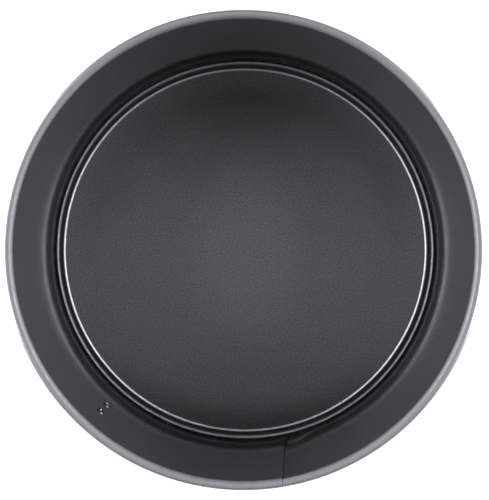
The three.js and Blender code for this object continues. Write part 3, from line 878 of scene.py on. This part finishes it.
def make_band():
    """The split side band: outer layer, main turn and the tongue that laps over it."""
    rake = SEAM_TOP - SEAM_BOTTOM
    seam = SEAM_BOTTOM + SEAM_GAP
    lower = foot_line() + wall_line()
    sweeps = [
        ("outer_layer", lower, OUTER_END, seam, (0.0, rake)),
        ("main_turn", lower + rim_line(), seam, TURN_END, (rake, 0.0)),
        ("tongue", wall_line()[1:] + rim_line(), TURN_END, SEAM_BOTTOM + 360, (0.0, rake)),
    ]
    layers = []
    for name, points, start, end, rakes in sweeps:
        layers.append(sweep(name, points, start, end, BAND_STEP, rakes, LAYER_SHIFT, COATING))
    band = join("band_sheet", layers, merge=True)
    thicken(band, BAND_SHEET, back=OUTER_COATING)
    return band


def base_line():
    """Middle of the base's sheet: floor, ridge, step, flange and a turned-up, rolled lip."""
    half = BASE_SHEET / 2
    flange = -FLOOR_STEP - half
    step = BASE_RADIUS - FLANGE_WIDTH
    floor = [(radius, -half) for radius in (0.0005, 30.0, 60.0, 90.0, 105.0, FLOOR_EDGE)]
    ridge = []
    for i in range(13):
        share = i / 12
        rise = 0.5 - 0.5 * math.cos(math.pi * share)
        ridge.append((CREST_RADIUS - RIDGE_RUN * (1 - share), -half + RIDGE_HEIGHT * rise))
    fall = arc((CREST_RADIUS, -half + RIDGE_HEIGHT - STEP_ROUND), STEP_ROUND, 90, 8, 8)[1:]
    foot = arc((step + STEP_ROUND, flange + STEP_ROUND), STEP_ROUND - 0.05, 185, 270, 6)
    roll = (BASE_RADIUS - half - LIP_ROLL, flange + LIP_RISE)
    over = arc(roll, LIP_ROLL, 90 + LIP_SLOPE, -75, 12)
    lip_radius, lip_height = over[0]
    rise = lip_height - flange
    run = rise / math.tan(math.radians(LIP_SLOPE))
    bend = [(lip_radius - run - 0.2, flange + 0.02)]
    for share in (0.75, 0.5, 0.25):
        bend.append((lip_radius - run * share, flange + rise * (1 - share)))
    return floor + ridge + fall + foot + bend + over


def make_base():
    """The loose base."""
    disc = sweep("base_disc", base_line(), 0.0, 360.0, BASE_STEP, (0.0, 0.0), 0.0, FLOOR_COATING)
    base = join("base_sheet", [disc], merge=True)
    thicken(base, BASE_SHEET)
    return base


# Clasp

def beside(radius, azimuth, aside):
    """Plan point at a radius and azimuth, moved aside along the tangent."""
    angle = math.radians(azimuth)
    x, y = polar(radius, azimuth)
    return x - aside * math.sin(angle), y + aside * math.cos(angle)


def from_pivot(outward, sideways):
    """Plan point given from the lever's pivot: outward, and sideways along the tangent."""
    return beside(PIVOT_RADIUS + outward, PIVOT_AZIMUTH, sideways)


def along_web(distance):
    """Azimuth of a point on the lever's web, at a distance along it from the pivot."""
    return PIVOT_AZIMUTH + math.degrees(distance / WEB_RADIUS)


def eased(value, low, high):
    """Smooth step of a plain number between two limits."""
    share = min(max((value - low) / (high - low), 0.0), 1.0)
    return share * share * (3 - 2 * share)


def rounded_run(start, end, start_round, end_round, step):
    """Distances along a strip, each with what its rounded corners take off the half height."""
    first, last = [], []
    for i in range(CORNER_STEPS):
        turn = math.radians(90 * i / CORNER_STEPS)
        inset, trim = 1 - math.cos(turn), 1 - math.sin(turn)
        first.append((start + start_round * inset, start_round * trim))
        last.append((end - end_round * inset, end_round * trim))
    straight = end - end_round - start - start_round
    count = int(straight / step)
    middle = [(start + start_round + straight * i / count, 0.0) for i in range(count + 1)]
    return first + middle + last[::-1]


def make_strip(name, guide_points, rows, edge_roll=0.0, rib_rise=0.0):
    """A bent, pressed strip of clasp sheet."""
    made = bake(name, BENT_STRIP, {
        "Guide": point_guide(name + "_guide", guide_points),
        "Guide Points": len(guide_points),
        "Rows": rows,
        "Edge Roll": edge_roll * MM,
        "Rib Rise": rib_rise * MM,
        "Material": CLASP_STEEL,
    })
    strip = join(name, [made], merge=True)
    thicken(strip, CLASP_SHEET, EASED_EDGE)
    return strip


def make_side_plates(name, rings, inner, outer):
    """Two flat plates above and below the clasp's middle: first the outline ring, then the holes."""
    plates = []
    for side in (-1, 1):
        curve = bpy.data.curves.new(name, "CURVE")
        curve.dimensions = "2D"
        curve.fill_mode = "BOTH"
        curve.extrude = ((outer - inner) / 2 - EASED_EDGE) * MM
        curve.bevel_depth = EASED_EDGE * MM
        curve.bevel_resolution = 2
        for ring in rings:
            add_line(curve, [(x, y, 0.0) for x, y in ring], closed=True)
        drawn = link_object(name, curve)
        mesh = evaluated_mesh(drawn)
        discard(drawn)
        mesh.transform(Matrix.Translation((0.0, 0.0, (CLASP_HEIGHT + side * (inner + outer) / 2) * MM)))
        mesh.materials.append(CLASP_STEEL)
        plates.append(link_object(name, mesh))
    return plates


def make_lever():
    """The stamped lever: a web that widens into a ribbed finger pad, and two pivot flanges."""
    guide = []
    for along, trim in rounded_run(WEB_START, LEVER_LENGTH, WEB_ROUND, PAD_ROUND, 0.35):
        widening = eased(along, NECK_LENGTH, NECK_LENGTH + NECK_RUN)
        half = FLANGE_OUTER + (PAD_HALF_HEIGHT - FLANGE_OUTER) * widening
        lift = FLARE_LIFT * eased(along, LEVER_LENGTH - FLARE_LENGTH, LEVER_LENGTH)
        guide.append((*polar(WEB_RADIUS + lift, along_web(along)), half - trim))
    web = make_strip("lever_web", guide, 63, EDGE_ROLL, RIB_RISE)
    rings = [flange_outline(), pivot_hole((0.0, 0.0), PIN_RADIUS), pivot_hole(BAIL_SEAT, WIRE_RADIUS)]
    flanges = make_side_plates("lever_flange", rings, FLANGE_INNER, FLANGE_OUTER)
    return combine("lever_stamping", [web] + flanges)


def pivot_arc(centre, radius, start, end, steps):
    """Plan points of an arc whose centre is given from the lever's pivot."""
    return [from_pivot(outward, sideways) for outward, sideways in arc(centre, radius, start, end, steps)]


def pivot_hole(centre, radius):
    """Plan of a hole for a pin or wire of some radius, whose centre is given from the lever's pivot."""
    return pivot_arc(centre, radius + HOLE_PLAY, 0, 360 - 360 / HOLE_FACETS, HOLE_FACETS - 1)


def flange_outline():
    """Plan of a lever flange: a round heel, a boss at the bail and a long taper into the web."""
    heel = pivot_arc((0.0, 0.0), HEEL_RADIUS - EASED_EDGE, 45, -175, 24)
    boss = pivot_arc(BAIL_SEAT, BOSS_RADIUS - EASED_EDGE, 185, 120, 8)
    taper = [
        polar(WEB_RADIUS - WEB_STANDOFF, along_web(FLANGE_LENGTH * 0.65)),
        polar(WEB_RADIUS - CLASP_SHEET * 0.8, along_web(FLANGE_LENGTH)),
    ]
    back = []
    for i in range(13):
        along = FLANGE_LENGTH - (FLANGE_LENGTH - WEB_START) * i / 12
        back.append(polar(WEB_RADIUS - CLASP_SHEET * 0.4, along_web(along)))
    return heel + boss + taper + back


def plate_guide(run, radius, azimuth, half):
    """Guide of a plate bent round the tin, whose run is measured from an azimuth."""
    guide = []
    for along, trim in run:
        guide.append((*polar(radius, azimuth + math.degrees(along / radius)), half - trim))
    return guide


def make_bracket():
    """The bracket: a plate bent round the outer layer, with two ears for the lever's pin."""
    plate_radius = TIN_RADIUS + LAYER_SHIFT + BAND_SHEET + SEAT_GAP + CLASP_SHEET / 2
    run = rounded_run(-BRACKET_TAIL, BRACKET_NOSE, PLATE_ROUND, NOSE_ROUND, PLATE_STEP)
    guide = plate_guide(run, plate_radius, PIVOT_AZIMUTH, FLANGE_OUTER)
    plate = make_strip("bracket_back", guide, 15)
    root = plate_radius - PIVOT_RADIUS
    reach = EAR_RADIUS - EASED_EDGE
    tip = pivot_arc((0.0, 0.0), reach, -90, 90, 24)
    ear = [from_pivot(root, -reach)] + tip + [from_pivot(root, reach)]
    outer = FLANGE_INNER - SIDE_PLAY
    rings = [ear, pivot_hole((0.0, 0.0), PIN_RADIUS)]
    ears = make_side_plates("bracket_ear", rings, outer - EAR_SHEET, outer)
    return combine("bracket_plate", [plate] + ears)


def catch_point(above):
    """A point on the middle of the leaning catch tab, at a height above the bail's bar."""
    aside = WIRE_RADIUS + SEAT_GAP + CLASP_SHEET / 2 + above * math.tan(math.radians(TAB_LEAN))
    return beside(CATCH_RADIUS + above, CATCH_AZIMUTH, aside)


def make_keeper():
    """The keeper: a plate bent round the tin that turns outward into the catch tab."""
    plate_radius = TIN_RADIUS + BAND_SHEET + SEAT_GAP + CLASP_SHEET / 2
    foot = catch_point(plate_radius - CATCH_RADIUS)
    foot_azimuth = math.degrees(math.atan2(foot[1], foot[0])) + 360
    reach = math.radians(foot_azimuth - KEEPER_AZIMUTH) * plate_radius
    narrow = KEEPER_HALF_HEIGHT - TAB_HALF_HEIGHT
    run = rounded_run(-KEEPER_MARGIN, reach - TAB_BEND, PLATE_ROUND, narrow, PLATE_STEP)
    guide = plate_guide(run, plate_radius, KEEPER_AZIMUTH, KEEPER_HALF_HEIGHT)
    start = Vector(guide[-1][:2])
    end = Vector(catch_point(plate_radius + TAB_BEND - CATCH_RADIUS))
    for i in range(1, 11):
        share = i / 10
        bend = start.lerp(Vector(foot), share).lerp(Vector(foot).lerp(end, share), share)
        guide.append((bend.x, bend.y, TAB_HALF_HEIGHT))
    tab_length = CATCH_RADIUS + TAB_OVERREACH - plate_radius - TAB_BEND
    for along, trim in rounded_run(0.0, tab_length, 0.0, TAB_ROUND, 0.6)[CORNER_STEPS + 1:]:
        above = plate_radius + TAB_BEND + along - CATCH_RADIUS
        guide.append((*catch_point(above), TAB_HALF_HEIGHT - trim))
    return make_strip("keeper_plate", guide, 31)


def bail_corner(azimuth, turn):
    """A bend of the bail from upright at an azimuth to level beside it, as azimuth and height."""
    corner = []
    for i in range(9):
        angle = math.radians(i * 90 / 8)
        height = LEG_HEIGHT - BAIL_BEND + BAIL_BEND * math.sin(angle)
        corner.append((azimuth + turn * (1 - math.cos(angle)), height))
    return corner


def bail_route():
    """Upper half of the bail's route as points, with heights above the clasp's middle."""
    x, y = from_pivot(*BAIL_SEAT)
    seat = math.degrees(math.atan2(y, x)) + 360
    seat_radius = math.hypot(x, y)
    turn = math.degrees(BAIL_BEND / CATCH_RADIUS)
    route = [(seat, FLANGE_INNER - SIDE_PLAY)] + bail_corner(seat, -turn)
    for i in range(1, 20):
        route.append((seat - turn + (CATCH_AZIMUTH + 2 * turn - seat) * i / 20, LEG_HEIGHT))
    route += reversed(bail_corner(CATCH_AZIMUTH, turn))
    points = []
    for azimuth, height in route:
        share = (azimuth - CATCH_AZIMUTH) / (seat - CATCH_AZIMUTH)
        points.append((*polar(CATCH_RADIUS + (seat_radius - CATCH_RADIUS) * share, azimuth), height))
    return points


def make_bail():
    """The wire bail, drawn along its route and back."""
    upper = bail_route()
    lower = [(x, y, -z) for x, y, z in reversed(upper)]
    curve = bpy.data.curves.new("bail_route", "CURVE")
    curve.dimensions = "3D"
    add_line(curve, [(x, y, z + CLASP_HEIGHT) for x, y, z in upper + lower], closed=False)
    return bake("bail_wire", BENT_WIRE, {
        "Route": link_object("bail_route", curve),
        "Wire Radius": WIRE_RADIUS * MM,
        "Points": 220, "Round Points": 24,
        "Material": CLASP_STEEL,
    })


def rivet_profile(head, dimple):
    """A rivet's profile as radius and distance from the inner face of its layer."""
    seat = -RIVET_GAP
    face = seat - RIVET_RIM
    plate = BAND_SHEET + SEAT_GAP + CLASP_SHEET + RIVET_GAP
    inner = [(0.0, face + dimple), (RIVET_RADIUS * 0.6, face + dimple * 0.95)]
    lip = arc((RIVET_RADIUS + 0.4, face + RIVET_EDGE), RIVET_EDGE, 180, 270, 6)
    edge = arc((head - RIVET_EDGE, face + RIVET_EDGE), RIVET_EDGE, -90, 0, 6)
    under = [(head, seat), (RIVET_RADIUS, seat), (RIVET_RADIUS, plate), (head, plate)]
    dome = []
    for i in range(9):
        angle = math.radians(i * 90 / 8)
        dome.append((head * math.cos(angle), plate + DOME_FOOT + DOME_RISE * math.sin(angle)))
    return inner + lip + edge + under + dome


def make_rivets(name, azimuth, face, spread, head, dimple):
    """Two rivets, one above the other."""
    points = rivet_profile(head, dimple)
    x, y = polar(face, azimuth)
    places = [(x, y, CLASP_HEIGHT + side * spread) for side in (-1, 1)]
    return bake(name, TURNED_RIVETS, {
        "Guide": profile_guide(name + "_guide", points),
        "Guide Points": len(points),
        "Places": point_guide(name + "_places", places),
        "Steps": 49,
        "Material": RIVET_STEEL,
    })


def eased_copy(cad_node, name, material, bevel):
    """A copy of a CAD node with its shared edges merged and its sharp edges eased."""
    work = bmesh.new()
    work.from_mesh(frame["nodes"][cad_node].data)
    bmesh.ops.remove_doubles(work, verts=work.verts, dist=CAD_MERGE * MM)
    bmesh.ops.dissolve_limit(work, angle_limit=math.radians(1.0), verts=work.verts, edges=work.edges)
    mesh = bpy.data.meshes.new(name)
    work.to_mesh(mesh)
    work.free()
    mesh.materials.clear()
    mesh.materials.append(material)
    made = link_object(name, mesh)
    add_bevel(made, bevel, 3, 40)
    apply_modifiers(made)
    return made


# Studio

def make_floor():
    """A wide pale floor under the foot: white to the eye, and it keeps a soft shadow."""
    mesh = bpy.data.meshes.new("studio_floor")
    height = CAD_BOX[0][2]
    corners = [(x * FLOOR_REACH, y * FLOOR_REACH, height) for x, y in ((-1, -1), (1, -1), (1, 1), (-1, 1))]
    mesh.from_pydata(corners, [], [(0, 1, 2, 3)])
    material, tree, _ = start_material("pale_floor")
    tree.nodes.clear()
    path = node(tree, "ShaderNodeLightPath")
    seen = maths(tree, "MAXIMUM", path["Is Camera Ray"], path["Is Glossy Ray"])
    seen = maths(tree, "MAXIMUM", seen, path["Is Transmission Ray"])
    paint = node(tree, "ShaderNodeBsdfDiffuse", {"Color": (0.8, 0.8, 0.8, 1.0)})
    where = node(tree, "ShaderNodeTexCoord")["Object"]
    away = node(tree, "ShaderNodeVectorMath", {0: where}, operation="LENGTH")["Value"]
    level = smooth_range(tree, away, 0.2, 0.8, 0.55, 1.0)
    glow = node(tree, "ShaderNodeEmission", {"Strength": times(tree, seen, level)})
    both = node(tree, "ShaderNodeAddShader", {0: paint[0], 1: glow[0]})
    node(tree, "ShaderNodeOutputMaterial", {"Surface": both[0]})
    mesh.materials.append(material)
    link_object("studio_floor", mesh)


def make_world():
    """White walls to the eye and in reflections, with a dim ceiling."""
    world = bpy.data.worlds.new("studio")
    bpy.context.scene.world = world
    world.use_nodes = True
    tree = world.node_tree
    tree.nodes.clear()
    up = split_xyz(tree, node(tree, "ShaderNodeTexCoord")["Generated"])["Z"]
    ceiling = smooth_range(tree, up, 0.2, 0.6, 0.5, 0.02)
    direct = node(tree, "ShaderNodeLightPath")["Is Camera Ray"]
    level = node(tree, "ShaderNodeMix", {"Factor": direct, "A": ceiling, "B": 1.0}, data_type="FLOAT")
    inputs = {"Color": (1.0, 1.0, 1.0, 1.0), "Strength": level["Result"]}
    sky = node(tree, "ShaderNodeBackground", inputs)
    node(tree, "ShaderNodeOutputWorld", {"Surface": sky[0]})


def make_lamp(name, place, width, depth, power):
    """A soft panel that faces the middle of the tin."""
    lamp = bpy.data.lights.new(name, "AREA")
    lamp.shape = "RECTANGLE"
    lamp.size = width
    lamp.size_y = depth
    lamp.energy = power
    lamp.color = LAMP_COLOR
    made = link_object(name, lamp)
    made.location = place
    aim = Vector(LAMP_TARGET) - Vector(place)
    made.rotation_euler = aim.to_track_quat("-Z", "Y").to_euler()


def make_camera():
    """Looks straight down from a little to one side of the tin's axis, as in the photograph."""
    camera = bpy.data.cameras.new("camera")
    camera.sensor_fit = "VERTICAL"
    camera.sensor_width = SENSOR
    camera.sensor_height = SENSOR
    camera.lens = SENSOR * RIM_PIXELS_PER_MM * CAMERA_ABOVE_RIM / FRAME_PIXELS
    camera.shift_x = FRAME_SHIFT
    camera.clip_start = 0.01
    made = link_object("camera", camera)
    made.location = (CAMERA_ASIDE * MM, 0.0, (WALL_TOP + CAMERA_ABOVE_RIM) * MM)
    bpy.context.scene.camera = made


# Groups and trees, each made once
SPECKLE = speckle_group()
MARKS = handling_group()
RING_MASK = ring_mask_group()
SEAM_SHADOW = seam_shadow_group()
GRAIN = grain_group()
SHEET_ROUND = sheet_round_tree()
TURNED_RIVETS = rivet_tree()
BENT_WIRE = wire_tree()
BENT_STRIP = strip_tree()

# Rings of painted highlight and wear, and of painted shade: radius, half width, and the heights between
# which they set in
COATING = coating(
    "wall_coating",
    dark=(0.015, 0.015, 0.016), light=(0.04, 0.04, 0.042), highlight_and_wear_grey=HIGHLIGHT_AND_WEAR_GREY, shade_grey=PAINTED_SHADE_GREY,
    roughness=(0.16, 0.2),
    # painted highlight: the rolled rim made lighter and metallic where it catches the light
    rings=[(WALL_RADIUS + 0.6, 2.6, WALL_TOP - 1.4, WALL_TOP - 0.2)],
    # painted shade: the wall's foot darkened where it meets the base
    shade_rings=[(WALL_RADIUS, 8.0, BEAD_TOP + 4.6, BEAD_TOP + 2.4)],
    seam=True, highlight_and_wear_metal=0.3, dulling=0.5, top_coat=True, ior=2.5, gleam=0.02, fleck=0.02, grain=0.0,
)
OUTER_COATING = coating(
    "outer_coating",
    dark=(0.02, 0.02, 0.021), light=(0.05, 0.05, 0.053), highlight_and_wear_grey=HIGHLIGHT_AND_WEAR_GREY, shade_grey=PAINTED_SHADE_GREY,
    roughness=(0.34, 0.42),
    rings=[(WALL_RADIUS + BEAD_SET_OUT + BEAD_RADIUS + 0.4, 0.4, *ALL_HEIGHTS)],
    # painted shade: darker in the crease where the wall meets the bead
    shade_rings=[(WALL_RADIUS, 2.0, BEAD_TOP + 1.0, BEAD_TOP)],
    seam=False, highlight_and_wear_metal=0.4, dulling=0.0, top_coat=False, ior=1.5, gleam=0.2, fleck=0.15, grain=0.0,
)
FLOOR_COATING = coating(
    "floor_coating",
    dark=(0.003, 0.003, 0.003), light=(0.026, 0.026, 0.027), highlight_and_wear_grey=(0.54, 0.54, 0.55),
    shade_grey=(0.06, 0.06, 0.062),
    roughness=(0.38, 0.42),
    # painted highlights: the ridge's crest and the rolled lip made light and metallic, as two bright lines
    rings=[(CREST_RADIUS - 0.6, 0.6, *ALL_HEIGHTS), (BASE_RADIUS - 0.7, 1.1, *ALL_HEIGHTS)],
    # painted shade: the moat between the ridge and the lip made darker and less shiny
    shade_rings=[(CREST_RADIUS + 2.0, 1.5, *ALL_HEIGHTS)],
    seam=False, highlight_and_wear_metal=0.8, dulling=-0.04, top_coat=False, ior=1.9, gleam=1.5, fleck=0.9, grain=0.3,
)
set_rolled(FLOOR_COATING.node_tree, FLOOR_SPREAD)
CLASP_STEEL = plating("clasp_plating", (0.36, 0.36, 0.37), (0.52, 0.52, 0.53), (0.2, 0.34), 0.08, 0.1)
RIVET_STEEL = plating("rivet_plating", (0.2, 0.2, 0.205), (0.3, 0.3, 0.305), (0.12, 0.18), 0.05, 0.0)


def place(made, body, slot, *nodes):
    """Sets a finished piece on its body, in place of its CAD nodes."""
    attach(made, body)
    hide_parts(*nodes)


def build_tin():
    """All pieces of the tin."""
    place(make_band(), "pan", "coating", "band")
    place(make_base(), "base", "coating", "base_plate")
    place(make_bail(), "bail", "clasp_steel", "bail")
    keeper_rivets = make_rivets(
        "keeper_rivets", KEEPER_AZIMUTH, TIN_RADIUS, KEEPER_RIVET_SPREAD, RIVET_HEAD, RIVET_DIMPLE)
    place(keeper_rivets, "pan", "clasp_steel", "keeper_rivet_upper", "keeper_rivet_lower")
    layer = TIN_RADIUS + LAYER_SHIFT
    rivet_turn = BRACKET_RIVET_OFFSET / (layer + BAND_SHEET + CLASP_SHEET)
    bracket_rivet_azimuth = PIVOT_AZIMUTH + math.degrees(rivet_turn)
    bracket_rivets = make_rivets(
        "bracket_rivets", bracket_rivet_azimuth, layer, BRACKET_RIVET_SPREAD, RIVET_HEAD * 0.9, 0.0)
    place(bracket_rivets, "pan", "clasp_steel", "bracket_rivet_upper", "bracket_rivet_lower")
    place(make_keeper(), "pan", "clasp_steel", "keeper")
    place(make_bracket(), "pan", "clasp_steel", "lever_bracket")
    place(make_lever(), "lever", "clasp_steel", "lever")
    place(eased_copy("lever_pin", "pin_turned", RIVET_STEEL, PIN_EDGE), "pan", "clasp_steel", "lever_pin")


build_tin()
make_floor()
make_world()
for lamp in LAMPS:
    make_lamp(*lamp)
make_camera()
bpy.context.scene.view_settings.view_transform = "Standard"
